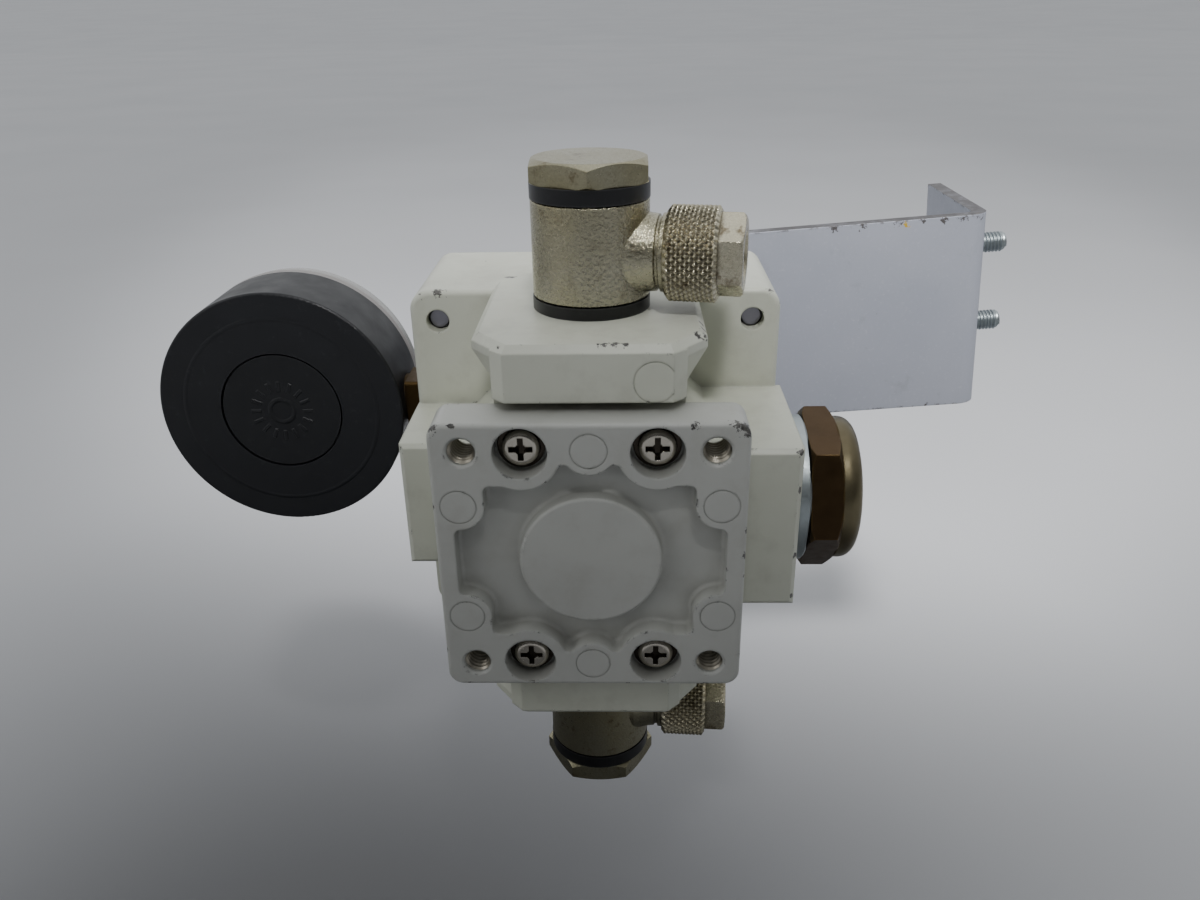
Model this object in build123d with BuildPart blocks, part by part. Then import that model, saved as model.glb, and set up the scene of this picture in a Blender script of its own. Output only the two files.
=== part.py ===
"""Modular air pressure regulator, seen from its bottom cover: cast body with an upper and a lower
port, banjo fittings, exhaust silencer, side gauge and a panel bracket round the bonnet.

Millimetres. Origin: centre of the bottom cover's front face.
X runs towards the exhaust port, Y along the valve axis away from the cover, Z to the upper port.
"""
import os
from math import cos, radians, sin

from build123d import *

os.makedirs("parts", exist_ok=True)

# ---------------------------------------------------------------- driving dimensions
cover_width, cover_height, cover_depth = 58.0, 57.0, 10.0
pocket_depth = 4.0
mount_hole_xy = 23.0
mount_hole_radius = 2.6
cover_screw_x, cover_screw_z = 12.4, 22.7
cover_screw_radius = 2.0

port_y = 31.5
block_front, block_rear = 45.5, 80.0
block_half = 40.0
block_corner = 4.5
corner_hole_x, corner_hole_z = 34.0, 33.3
corner_screw_radius = 2.5
flange_half, flange_front, flange_rear, flange_top = 21.8, 5.4, 57.6, 41.0
flange_bevel, flange_rim = 1.4, 1.6
flange_slope, flange_slope_angle = 7.6, 27.0
neck_half, neck_bottom = 17.8, 30.3
right_boss_face, right_boss_half, right_boss_front = 41.0, 17.6, 12.0
left_boss_face, left_boss_half, left_boss_front = -40.0, 14.1, 22.9

port_thread = 8.33
exhaust_thread = 10.48
plug_thread = 6.58
gauge_thread = 4.86

front_chamber_radius, partition_front, partition_rear = 14.0, 29.0, 34.5
rear_chamber_radius = 18.0
cylinder_radius, cylinder_floor = 27.0, 50.0
seat_outer, seat_bore = 9.5, 6.0
guide_bore = 3.05

bonnet_flange_rear = 85.5
bell_radius, bell_rear = 29.0, 122.0
bonnet_neck_radius, bonnet_rear = 19.5, 138.0
adjuster_bearing = 6.05
spring_seat_front = 104.0
adjuster_thread = 4.0

bracket_front, bracket_thickness = 122.0, 4.0
bracket_angle = 4.1
bracket_reach, bracket_top, bracket_bottom = 112.6, 31.6, -26.0
bracket_flange_rear = 171.0
bracket_bolt_y, bracket_bolt_heights = 133.0, (20.6, -3.4)
bracket_bolt_radius = 3.0

fitting_radius = 11.5
washer_radius = 11.6
seal_thickness, cap_washer_thickness = 2.4, 3.0
fitting_height = 18.9
outlet_height = 10.9
neck_radius = 8.4
bolt_head_height, bolt_head_flats = 4.4, 22.0
shank_radius = 8.3
swivel_bore = 8.6
tail_radius = 6.6
nut_start, nut_knurl_end, nut_end = 15.2, 25.3, 30.0
nut_radius, nut_flats = 9.1, 14.0
upper_swivel, lower_swivel = 11.0, 4.0
lower_spacer_thickness = 3.5
face_gap = 0.02

gauge_x, gauge_z, gauge_back = -78.2, 5.0, 63.0
gauge_radius, gauge_case_depth, gauge_ring_depth, window_depth = 30.0, 19.2, 2.8, 4.2
gauge_stem_y = 72.5
gauge_disc_radius = 15.0


# ---------------------------------------------------------------- helpers
def across(y, x=0.0, z=0.0):
    """Plane square to the valve axis: X right, Z up, facing the cover (extrude negative to go deeper)."""
    return Plane(origin=(x, y, z), x_dir=(1, 0, 0), z_dir=(0, -1, 0))


def sideways(x, y=port_y, z=0.0):
    """Plane square to X, facing +X: its own x runs along Y and its own y along Z."""
    return Plane(origin=(x, y, z), x_dir=(0, 1, 0), z_dir=(1, 0, 0))


def level(z, y=port_y):
    """Plane square to Z over the port axis, facing +Z."""
    return Plane(origin=(0, y, z), x_dir=(1, 0, 0), z_dir=(0, 0, 1))


def disc(plane, radius, depth, mode=Mode.ADD):
    """A round bar or hole of the given radius, extruded along the plane's normal."""
    with BuildSketch(plane) as outline:
        Circle(radius)
    extrude(outline.sketch, amount=depth, mode=mode)


def tube(plane, outer, inner, depth):
    """A round bar with a hole along it."""
    with BuildSketch(plane) as outline:
        Circle(outer)
        Circle(inner, mode=Mode.SUBTRACT)
    extrude(outline.sketch, amount=depth)


def hexagon(plane, flats, depth, turn=0.0, mode=Mode.ADD):
    """A hexagonal bar or socket measured across its flats."""
    with BuildSketch(plane) as outline:
        RegularPolygon(radius=flats / 2, side_count=6, major_radius=False, rotation=turn)
    extrude(outline.sketch, amount=depth, mode=mode)


def turned(origin, along, radial, profile, mode=Mode.ADD):
    """A shape turned on a lathe: profile is a loop of (radius, distance along the axis) points."""
    with BuildSketch(Plane(origin=origin, x_dir=radial, z_dir=Vector(*radial).cross(Vector(*along)))) as half:
        with BuildLine():
            Polyline(*profile, close=True)
        make_face()
    revolve(half.sketch, axis=Axis(origin, along), mode=mode)


def corners(x, z):
    return [(x, z), (-x, z), (x, -z), (-x, -z)]


def coil(start_y, end_y, mean_radius, wire_radius, turns):
    """A round-wire compression spring standing on the valve axis."""
    length = end_y - start_y - 2 * wire_radius
    with BuildLine() as path:
        Helix(
            pitch=length / turns, height=length, radius=mean_radius,
            center=(0, start_y + wire_radius, 0), direction=(0, 1, 0))
    wire = path.wires()[0]
    with BuildSketch(Plane(origin=wire @ 0, z_dir=wire % 0)) as section:
        Circle(wire_radius)
    sweep(section.sketch, path=wire)


def round_edges(builder, radius, axis_name, low, high):
    """Round edges of one radius whose centres lie between two positions along an axis."""
    found = builder.edges().filter_by(GeomType.CIRCLE)
    found = found.filter_by(lambda e: abs(e.radius - radius) < 0.01)
    return found.filter_by(lambda e: low <= getattr(e.arc_center, axis_name) <= high)


def save(builder, name):
    builder.part.label = name
    export_step(builder.part, f"parts/{name}.step")


# ---------------------------------------------------------------- bottom cover
with BuildPart() as bottom_cover:
    with BuildSketch(across(0)):
        RectangleRounded(cover_width, cover_height, 3.0)
    extrude(amount=-cover_depth)
    fillet(bottom_cover.faces().sort_by(Axis.Y)[0].edges(), 0.9)
    # pocket with lobes between the screw bosses and the ejector marks, its corners rounded both ways
    with BuildSketch(across(0)):
        Rectangle(50.8, 24.0)
        Rectangle(39.0, 32.4)
        Rectangle(30.0, 42.4)
        with Locations(corners(cover_screw_x, cover_screw_z)):
            Circle(7.3, mode=Mode.SUBTRACT)
        with Locations(corners(24.2, 12.0)):
            Circle(4.8, mode=Mode.SUBTRACT)
        with Locations((0, 23.2), (0, -23.2)):
            Circle(4.8, mode=Mode.SUBTRACT)
        offset(amount=-1.3)
        offset(amount=2.3)
        offset(amount=-1.0)
    extrude(amount=-pocket_depth, mode=Mode.SUBTRACT)
    floor_rim = bottom_cover.faces().filter_by(lambda f: abs(f.center().Y - pocket_depth) < 0.01)
    fillet(floor_rim.edges(), 0.8)
    disc(across(pocket_depth), 13.5, pocket_depth - 0.4)
    fillet(round_edges(bottom_cover, 13.5, "Y", 0.3, 0.5), 0.6)
    fillet(round_edges(bottom_cover, 13.5, "Y", pocket_depth - 0.1, pocket_depth + 0.1), 0.9)
    # ejector marks: a hair-thin ring round each
    with BuildSketch(across(0)):
        with Locations(corners(24.2, 12.0) + [(0, 23.2), (0, -23.2)]):
            Circle(3.45)
            Circle(3.25, mode=Mode.SUBTRACT)
    extrude(amount=-0.12, mode=Mode.SUBTRACT)
    # screw wells, screw holes and the tapped mounting holes
    with BuildSketch(across(0)):
        with Locations(corners(cover_screw_x, cover_screw_z)):
            Circle(5.0)
    extrude(amount=-4.6, mode=Mode.SUBTRACT)
    with BuildSketch(across(0)):
        with Locations(corners(cover_screw_x, cover_screw_z)):
            Circle(2.25)
        with Locations(corners(mount_hole_xy, mount_hole_xy)):
            Circle(mount_hole_radius)
    extrude(amount=-cover_depth, mode=Mode.SUBTRACT)
    for x, z in corners(mount_hole_xy, mount_hole_xy):
        with BuildSketch(across(0, x, z)):
            Circle(mount_hole_radius + 0.45)
        extrude(amount=-0.45, taper=45, mode=Mode.SUBTRACT)
    # guide for the valve's tail
    disc(across(cover_depth), 7.0, -9.0)
    disc(across(cover_depth + 9.0), guide_bore, 12.0, Mode.SUBTRACT)
save(bottom_cover, "bottom_cover")

with BuildPart() as cover_screws:
    for x, z in corners(cover_screw_x, cover_screw_z):
        disc(across(4.6, x, z), cover_screw_radius, -15.0)
        disc(across(4.6, x, z), 4.4, 0.7)
        with BuildSketch(across(4.6, x, z)):
            Circle(3.5)
        extrude(amount=2.6)
    fillet(round_edges(cover_screws, 3.5, "Y", 1.9, 2.1), 1.1)
    for x, z in corners(cover_screw_x, cover_screw_z):
        with BuildSketch(across(1.9, x, z)):
            Rectangle(4.4, 1.05)
            Rectangle(1.05, 4.4)
            Circle(1.05)
        extrude(amount=-1.7, mode=Mode.SUBTRACT)
save(cover_screws, "cover_screws")

with BuildPart() as cover_seal:
    with BuildSketch(Plane(origin=(0, 0, 0), x_dir=(1, 0, 0), z_dir=(0, 0, 1))):
        with Locations((18.0, cover_depth + 1.0)):
            Circle(0.98)
    revolve(axis=Axis.Y)
save(cover_seal, "cover_seal")

# ---------------------------------------------------------------- valve body
with BuildPart() as valve_body:
    with BuildSketch(across(cover_depth)) as core:
        Rectangle(55.0, 55.0)
        chamfer(core.vertices(), 14.0)
    extrude(amount=-(block_front - cover_depth + 1))
    with BuildSketch(across(block_front)):
        RectangleRounded(2 * block_half, 2 * block_half, block_corner)
    extrude(amount=-(block_rear - block_front))
    fillet(valve_body.faces().filter_by(Axis.Y).sort_by(SortBy.AREA)[-2:].edges().filter_by(
        lambda e: max(abs(e.center().X), abs(e.center().Z)) > 36 and e.center().Y < block_front + 0.01), 1.2)
    # upper and lower port flanges: a bevelled rim over a slope, on a narrower neck
    for side in (1, -1):
        with BuildSketch(Plane.XY.offset(side * 20.0)):
            with BuildLine():
                Polyline(
                    (-15.3, flange_front), (15.3, flange_front), (neck_half, flange_front + 2.5),
                    (neck_half, block_front + 1), (-neck_half, block_front + 1),
                    (-neck_half, flange_front + 2.5), close=True)
            make_face()
        extrude(amount=side * (flange_top - flange_bevel - 20.0))
        with BuildSketch(Plane.XY.offset(side * (flange_top - flange_bevel))) as outline:
            with BuildLine():
                Polyline(
                    (-15.3, flange_front), (15.3, flange_front), (flange_half, 13.8),
                    (flange_half, flange_rear - 8.4), (15.3, flange_rear), (-15.3, flange_rear),
                    (-flange_half, flange_rear - 8.4), (-flange_half, 13.8), close=True)
            make_face()
        extrude(amount=-side * flange_rim)
        extrude(outline.sketch, amount=side * flange_bevel, taper=45)
        lowered = outline.sketch.moved(Location((0, 0, -side * flange_rim)))
        extrude(lowered, amount=-side * flange_slope, taper=flange_slope_angle)
    # ejector mark on the upper flange's front: a hair-thin ring cut short by the face's edge
    with BuildSketch(across(flange_front, 12.0, 34.2)):
        Circle(4.0)
        Circle(3.8, mode=Mode.SUBTRACT)
    extrude(amount=-0.12, mode=Mode.SUBTRACT)
    # room for the cover between the two necks
    with BuildSketch(across(0)):
        Rectangle(cover_width + 2, 2 * neck_bottom)
    extrude(amount=-cover_depth, mode=Mode.SUBTRACT)
    # right boss for the exhaust port, left boss for the spare port
    with BuildSketch(across(right_boss_front)):
        with Locations(((right_boss_face + 20) / 2, 0)):
            Rectangle(right_boss_face - 20, 2 * right_boss_half)
    extrude(amount=-(block_front + 1 - right_boss_front))
    with BuildSketch(across(left_boss_front)):
        with Locations(((left_boss_face - 20) / 2, 0)):
            Rectangle(-left_boss_face - 20, 2 * left_boss_half)
    extrude(amount=-(block_front + 1 - left_boss_front))
    front_rims = valve_body.faces().filter_by(Axis.Y).filter_by(
        lambda f: abs(f.center().Y - right_boss_front) < 0.01 or abs(f.center().Y - left_boss_front) < 0.01)
    chamfer(front_rims.edges().filter_by(lambda e: abs(e.center().X) > 30), 0.9)
    # threaded ports
    disc(level(flange_top), port_thread, -14.0, Mode.SUBTRACT)
    disc(level(-flange_top), port_thread, 14.0, Mode.SUBTRACT)
    disc(sideways(right_boss_face), exhaust_thread, -14.0, Mode.SUBTRACT)
    disc(sideways(left_boss_face, 34.2), plug_thread, 16.0, Mode.SUBTRACT)
    disc(sideways(-block_half, gauge_stem_y, gauge_z), gauge_thread, 10.0, Mode.SUBTRACT)
    # valve chambers, seat bore and cylinder
    disc(across(cover_depth), front_chamber_radius, -(partition_front - cover_depth), Mode.SUBTRACT)
    disc(across(partition_front), seat_outer, -(partition_rear - partition_front), Mode.SUBTRACT)
    disc(across(partition_rear), rear_chamber_radius, -(cylinder_floor - partition_rear), Mode.SUBTRACT)
    disc(across(cylinder_floor), cylinder_radius, -(block_rear - cylinder_floor), Mode.SUBTRACT)
    # passages: lower port to front chamber, rear chamber to upper port, and the side ports
    disc(level(-30.0, 23.0), 5.0, 19.0, Mode.SUBTRACT)
    disc(level(30.0, 40.0), 5.0, -19.0, Mode.SUBTRACT)
    disc(across(port_y, 33.0), 2.8, -(block_rear - port_y), Mode.SUBTRACT)
    disc(sideways(-24.5, 38.0), 2.0, 9.0, Mode.SUBTRACT)
    disc(across(gauge_stem_y, -31.5, gauge_z), 1.5, gauge_stem_y - 36.0, Mode.SUBTRACT)
    # groove for the cover's seal
    with BuildSketch(across(cover_depth)):
        Circle(19.4)
        Circle(16.6, mode=Mode.SUBTRACT)
    extrude(amount=-2.0, mode=Mode.SUBTRACT)
    # tapped holes for the cover screws and the bonnet screws
    with BuildSketch(across(cover_depth)):
        with Locations(corners(cover_screw_x, cover_screw_z)):
            Circle(cover_screw_radius)
    extrude(amount=-12.0, mode=Mode.SUBTRACT)
    with BuildSketch(across(block_front)):
        with Locations(corners(corner_hole_x, corner_hole_z)):
            Circle(corner_screw_radius)
    extrude(amount=-(block_rear - block_front), mode=Mode.SUBTRACT)
save(valve_body, "valve_body")

# ---------------------------------------------------------------- valve
with BuildPart() as valve_seat:
    tube(across(partition_front), seat_outer, seat_bore, -(partition_rear - partition_front))
    tube(across(partition_front), 7.2, seat_bore, 0.5)
save(valve_seat, "valve_seat")

with BuildPart() as valve_poppet:
    disc(across(10.0), 3.0, -12.0)
    disc(across(21.5), 9.2, -4.5)
    disc(across(26.0), 2.4, -7.0)
save(valve_poppet, "valve_poppet")

with BuildPart() as poppet_pad:
    tube(across(26.0), 9.0, 2.45, -2.4)
save(poppet_pad, "poppet_pad")

with BuildPart() as valve_spring:
    coil(cover_depth, 21.5, 8.3, 0.5, 4)
save(valve_spring, "valve_spring")

with BuildPart() as piston:
    disc(across(58.0), cylinder_radius - 0.05, -10.0)
    with BuildSketch(across(62.0)):
        Circle(cylinder_radius + 1)
        Circle(24.6, mode=Mode.SUBTRACT)
    extrude(amount=-3.0, mode=Mode.SUBTRACT)
    with BuildSketch(across(68.0)):
        Circle(18.5)
        Circle(10.0, mode=Mode.SUBTRACT)
    extrude(amount=3.0, mode=Mode.SUBTRACT)
    disc(across(33.02), 3.0, -25.0)
save(piston, "piston")

with BuildPart() as piston_ring:
    tube(across(62.2), cylinder_radius - 0.03, 24.65, -2.6)
save(piston_ring, "piston_ring")

with BuildPart() as main_spring:
    coil(65.0, spring_seat_front, 14.2, 1.7, 5)
save(main_spring, "main_spring")

# ---------------------------------------------------------------- bonnet and adjuster
with BuildPart() as bonnet:
    with BuildSketch(across(block_rear)):
        RectangleRounded(79.0, 76.4, 5.0)
    extrude(amount=-(bonnet_flange_rear - block_rear))
    disc(across(bonnet_flange_rear), bell_radius, -(bell_rear - bonnet_flange_rear))
    disc(across(bell_rear), bonnet_neck_radius, -(bonnet_rear - bell_rear))
    disc(across(block_rear), 24.0, -34.0, Mode.SUBTRACT)
    disc(across(block_rear + 34.0), 12.0, -16.0, Mode.SUBTRACT)
    disc(across(bonnet_rear), adjuster_bearing, 10.0, Mode.SUBTRACT)
    # keyways that stop the spring seat from turning, and the relief slot to the exhaust passage
    with BuildSketch(across(block_rear)):
        Rectangle(53.0, 5.6)
    extrude(amount=-34.0, mode=Mode.SUBTRACT)
    with BuildSketch(across(block_rear)):
        with Locations((29.0, 0)):
            Rectangle(14.0, 5.0)
    extrude(amount=-2.5, mode=Mode.SUBTRACT)
    with BuildSketch(across(block_rear)):
        with Locations(corners(corner_hole_x, corner_hole_z)):
            Circle(2.75)
    extrude(amount=-(bonnet_flange_rear - block_rear), mode=Mode.SUBTRACT)
    fillet(round_edges(bonnet, bell_radius, "Y", bell_rear - 1, bell_rear), 2.0)
save(bonnet, "bonnet")

with BuildPart() as bonnet_screws:
    for x, z in corners(corner_hole_x, corner_hole_z):
        disc(across(bonnet_flange_rear, x, z), 4.25, -3.0)
        disc(across(bonnet_flange_rear, x, z), corner_screw_radius - 0.02, 37.6)
        hexagon(across(bonnet_flange_rear + 3.0, x, z), 3.0, 1.8, mode=Mode.SUBTRACT)
    chamfer(round_edges(bonnet_screws, corner_screw_radius - 0.02, "Y", 0, bonnet_flange_rear - 37), 0.5)
save(bonnet_screws, "bonnet_screws")

with BuildPart() as spring_seat:
    disc(across(spring_seat_front), 20.0, -4.0)
    with BuildSketch(across(spring_seat_front)):
        Rectangle(51.8, 5.0)
    extrude(amount=-4.0)
    disc(across(spring_seat_front - 6.0), 8.0, -12.0)
    disc(across(spring_seat_front - 6.0), adjuster_thread + 0.08, -13.0, Mode.SUBTRACT)
save(spring_seat, "spring_seat")

with BuildPart() as adjusting_screw:
    disc(across(91.0), adjuster_thread, -36.0)
    disc(across(126.0), 10.0, -3.95)
    disc(across(129.0), adjuster_bearing - 0.05, -31.0)
    chamfer(round_edges(adjusting_screw, adjuster_thread, "Y", 90, 91.5), 0.8)
save(adjusting_screw, "adjusting_screw")

with BuildPart() as knob:
    disc(across(139.0), 23.0, -33.0)
    fillet(knob.faces().sort_by(Axis.Y)[-1].edges(), 2.0)
    with BuildSketch(across(139.0)):
        with PolarLocations(23.2, 24):
            Circle(1.3)
    extrude(amount=-28.0, mode=Mode.SUBTRACT)
    disc(across(139.0), 20.0, -6.0, Mode.SUBTRACT)
    disc(across(139.0), adjuster_bearing - 0.05, -21.0, Mode.SUBTRACT)
save(knob, "knob")

with BuildPart() as panel_nut:
    hexagon(across(bracket_front + bracket_thickness), 46.0, -5.5, 30)
    disc(across(bracket_front + bracket_thickness), bonnet_neck_radius, -5.5, Mode.SUBTRACT)
save(panel_nut, "panel_nut")

# ---------------------------------------------------------------- bracket
bracket_along = (cos(radians(bracket_angle)), 0, sin(radians(bracket_angle)))
bracket_plane = Plane(origin=(0, bracket_front, 0), x_dir=bracket_along, z_dir=(0, -1, 0))
bracket_middle = (bracket_top + bracket_bottom) / 2
bracket_half = (bracket_top - bracket_bottom) / 2
bracket_foot = Plane(
    origin=bracket_plane.from_local_coords((0, bracket_bottom, 0)),
    x_dir=bracket_plane.x_dir, z_dir=bracket_plane.y_dir)
with BuildPart() as bracket:
    # bent strip: plate and flange as one section, drawn from below
    with BuildSketch(bracket_foot):
        with BuildLine() as section:
            Polyline(
                (0, 0), (bracket_reach, 0), (bracket_reach, bracket_flange_rear - bracket_front),
                (bracket_reach - bracket_thickness, bracket_flange_rear - bracket_front),
                (bracket_reach - bracket_thickness, bracket_thickness), (0, bracket_thickness), close=True)
            fillet(section.vertices().sort_by_distance((bracket_reach, 0, 0))[0], 5.5)
            fillet(section.vertices().sort_by_distance((bracket_reach - 4, 4, 0))[0], 1.5)
        make_face()
    extrude(amount=2 * bracket_half)
    with BuildSketch(bracket_plane):
        with Locations((0, bracket_middle)):
            Circle(bracket_half)
    extrude(amount=-bracket_thickness)
    disc(bracket_plane, bonnet_neck_radius + 0.3, -bracket_thickness, Mode.SUBTRACT)
    # holes for the two bolts in the flange
    for height in bracket_bolt_heights:
        hole_point = bracket_plane.from_local_coords((bracket_reach - 8, height, -(bracket_bolt_y - bracket_front)))
        hole_plane = Plane(origin=hole_point, x_dir=(0, 1, 0), z_dir=bracket_plane.x_dir)
        disc(hole_plane, bracket_bolt_radius, 12.0, Mode.SUBTRACT)
save(bracket, "bracket")

with BuildPart() as bracket_bolts:
    for height in bracket_bolt_heights:
        seat_x = bracket_reach - bracket_thickness - 1.2
        seat = bracket_plane.from_local_coords((seat_x, height, -(bracket_bolt_y - bracket_front)))
        bolt_plane = Plane(origin=seat, x_dir=(0, 1, 0), z_dir=bracket_plane.x_dir)
        hexagon(bolt_plane, 10.0, -4.0)
        disc(bolt_plane, bracket_bolt_radius - 0.02, 13.4)
    chamfer(round_edges(bracket_bolts, bracket_bolt_radius - 0.02, "X", 116, 130), 0.6)
save(bracket_bolts, "bracket_bolts")

with BuildPart() as bracket_washers:
    for height in bracket_bolt_heights:
        seat_x = bracket_reach - bracket_thickness - 1.2
        seat = bracket_plane.from_local_coords((seat_x, height, -(bracket_bolt_y - bracket_front)))
        washer_plane = Plane(origin=seat, x_dir=(0, 1, 0), z_dir=bracket_plane.x_dir)
        tube(washer_plane, 6.0, bracket_bolt_radius + 0.2, 1.2)
save(bracket_washers, "bracket_washers")


# ---------------------------------------------------------------- banjo fittings
def fitting(name, side, port_face, swivel, head_turn):
    """The fitting on one port: side is 1 for the upper port and -1 for the lower one.

    swivel is how far the outlet is turned from +X towards the cover, in degrees.
    """
    seal_end = port_face + seal_thickness
    body_end = seal_end + fitting_height
    head_start = body_end + cap_washer_thickness
    head_end = head_start + bolt_head_height
    outlet = side * (port_face + outlet_height)
    foot = (0, port_y, 0)
    upward = (0, 0, side)
    outlet_centre = (0, port_y, outlet)
    outward = (cos(radians(swivel)), -sin(radians(swivel)), 0)
    beside = (sin(radians(swivel)), cos(radians(swivel)), 0)

    def along(distance):
        """Plane square to the outlet, that far from the port's axis."""
        centre = Vector(*outlet_centre) + Vector(*outward) * distance
        return Plane(origin=centre, x_dir=beside, z_dir=outward)

    with BuildPart() as port_seal:
        tube(level(side * port_face), washer_radius, swivel_bore, side * seal_thickness)
    save(port_seal, f"{name}_port_seal")

    with BuildPart() as cap_seal:
        tube(level(side * body_end), washer_radius, swivel_bore, side * cap_washer_thickness)
    save(cap_seal, f"{name}_cap_seal")

    # hollow bolt: the corners of its head are turned off by a cone at each end
    with BuildPart() as banjo_bolt:
        hexagon(level(side * head_start), bolt_head_flats, side * bolt_head_height, head_turn)
        turned(foot, upward, (1, 0, 0), [
            (0, head_start), (11.7, head_start), (13.2, head_start + 0.9), (13.2, head_end - 1.3),
            (10.6, head_end), (0, head_end)], Mode.INTERSECT)
        disc(level(side * head_start), shank_radius, -side * (head_start - 29.0))
        disc(level(side * 28.0), 5.0, side * (abs(outlet) + 5.0 - 28.0), Mode.SUBTRACT)
        disc(sideways(-12.0, port_y, outlet), 3.0, 24.0, Mode.SUBTRACT)
    save(banjo_bolt, f"{name}_banjo_bolt")

    # swivel body with its side outlet and the threaded tail for the union nut
    with BuildPart() as banjo_body:
        turned(foot, upward, (1, 0, 0), [
            (0, seal_end + face_gap), (fitting_radius - 0.4, seal_end + face_gap),
            (fitting_radius, seal_end + 0.4), (fitting_radius, body_end - 0.4),
            (fitting_radius - 0.4, body_end - face_gap), (0, body_end - face_gap)])
        turned(outlet_centre, outward, (0, 0, 1), [
            (0, 0), (neck_radius, 0), (neck_radius, 8.8), (neck_radius - 0.5, 10.2),
            (neck_radius - 0.9, 11.8), (neck_radius - 1.1, 13.4), (neck_radius - 1.5, 13.6),
            (neck_radius - 1.5, 14.1), (neck_radius - 0.9, 14.3), (neck_radius - 0.9, nut_start - face_gap),
            (tail_radius, nut_start - face_gap), (tail_radius, 24.8), (0, 24.8)])
        disc(level(side * (seal_end - 1)), swivel_bore, side * (fitting_height + 2), Mode.SUBTRACT)
        turned(foot, upward, (1, 0, 0), [
            (0, abs(outlet) - 3.5), (9.8, abs(outlet) - 3.5),
            (9.8, abs(outlet) + 3.5), (0, abs(outlet) + 3.5)], Mode.SUBTRACT)
        disc(along(0), 3.0, 26.0, Mode.SUBTRACT)
        disc(along(20.0), 4.1, 6.0, Mode.SUBTRACT)
    save(banjo_body, f"{name}_banjo_body")

    # knurled union nut with a short hexagon at its mouth
    with BuildPart() as union_nut:
        hexagon(along(nut_knurl_end - 1), nut_flats, nut_end - nut_knurl_end + 1, 17)
        turned(outlet_centre, outward, (0, 0, 1), [
            (0, nut_knurl_end - 1), (8.9, nut_knurl_end - 1), (8.9, nut_end - 0.7),
            (7.3, nut_end), (0, nut_end)], Mode.INTERSECT)
        turned(outlet_centre, outward, (0, 0, 1), [
            (0, nut_start), (nut_radius - 0.8, nut_start), (nut_radius, nut_start + 0.8),
            (nut_radius, nut_knurl_end - 0.8), (nut_radius - 0.8, nut_knurl_end), (0, nut_knurl_end)])
        disc(along(nut_start), tail_radius + 0.06, 25.2 - nut_start, Mode.SUBTRACT)
        disc(along(nut_start), 4.3, nut_end - nut_start, Mode.SUBTRACT)
    save(union_nut, f"{name}_union_nut")


fitting("upper", 1, flange_top, upper_swivel, 30)
fitting("lower", -1, flange_top + lower_spacer_thickness, lower_swivel, 0)

with BuildPart() as lower_spacer:
    tube(level(-flange_top), fitting_radius, swivel_bore, -lower_spacer_thickness)
save(lower_spacer, "lower_spacer")

# ---------------------------------------------------------------- exhaust silencer and spare port plug
exhaust_centre = (0, port_y, 0)
with BuildPart() as exhaust_washer:
    tube(sideways(right_boss_face), 15.6, exhaust_thread + 0.1, 44.0 - right_boss_face)
    chamfer(round_edges(exhaust_washer, 15.6, "X", 40, 45), 0.4)
save(exhaust_washer, "exhaust_washer")

with BuildPart() as silencer_body:
    hexagon(sideways(44.0), 30.0, 6.5, 12)
    turned(exhaust_centre, (1, 0, 0), (0, 0, 1), [
        (0, 44.0), (16.2, 44.0), (17.6, 45.0), (17.6, 49.2), (15.4, 50.5), (0, 50.5)], Mode.INTERSECT)
    disc(sideways(50.5), 15.2, 4.3)
    fillet(silencer_body.faces().sort_by(Axis.X)[-1].edges(), 3.0)
    disc(sideways(44.0), exhaust_thread - 0.02, -14.0)
    disc(sideways(54.8), 11.0, -4.0, Mode.SUBTRACT)
    disc(sideways(54.8), 7.5, -30.0, Mode.SUBTRACT)
save(silencer_body, "silencer_body")

with BuildPart() as silencer_element:
    disc(sideways(50.8), 11.0, 2.6)
save(silencer_element, "silencer_element")

with BuildPart() as spare_port_plug:
    disc(sideways(left_boss_face + 0.6, 34.2), plug_thread, 7.0)
    hexagon(sideways(left_boss_face + 0.6, 34.2), 6.0, 4.0, mode=Mode.SUBTRACT)
save(spare_port_plug, "spare_port_plug")

# ---------------------------------------------------------------- pressure gauge
gauge_front = gauge_back + gauge_case_depth
with BuildPart() as gauge_case:
    disc(across(gauge_back, gauge_x, gauge_z), gauge_radius, -gauge_case_depth)
    fillet(gauge_case.faces().sort_by(Axis.Y)[0].edges(), 0.6)
    disc(across(gauge_back + 2.0, gauge_x, gauge_z), gauge_radius - 1.8, -gauge_case_depth, Mode.SUBTRACT)
    disc(across(gauge_back, gauge_x, gauge_z), gauge_disc_radius, -2.0, Mode.SUBTRACT)
    disc(sideways(gauge_x + 20, gauge_stem_y, gauge_z), 6.0, 12.0, Mode.SUBTRACT)
save(gauge_case, "gauge_case")

with BuildPart() as gauge_back_disc:
    disc(across(gauge_back + 0.25, gauge_x, gauge_z), gauge_disc_radius - 0.5, -1.75)
    disc(across(gauge_back + 2.0, gauge_x, gauge_z), gauge_disc_radius + 1.0, -0.8)
save(gauge_back_disc, "gauge_back_disc")

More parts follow.
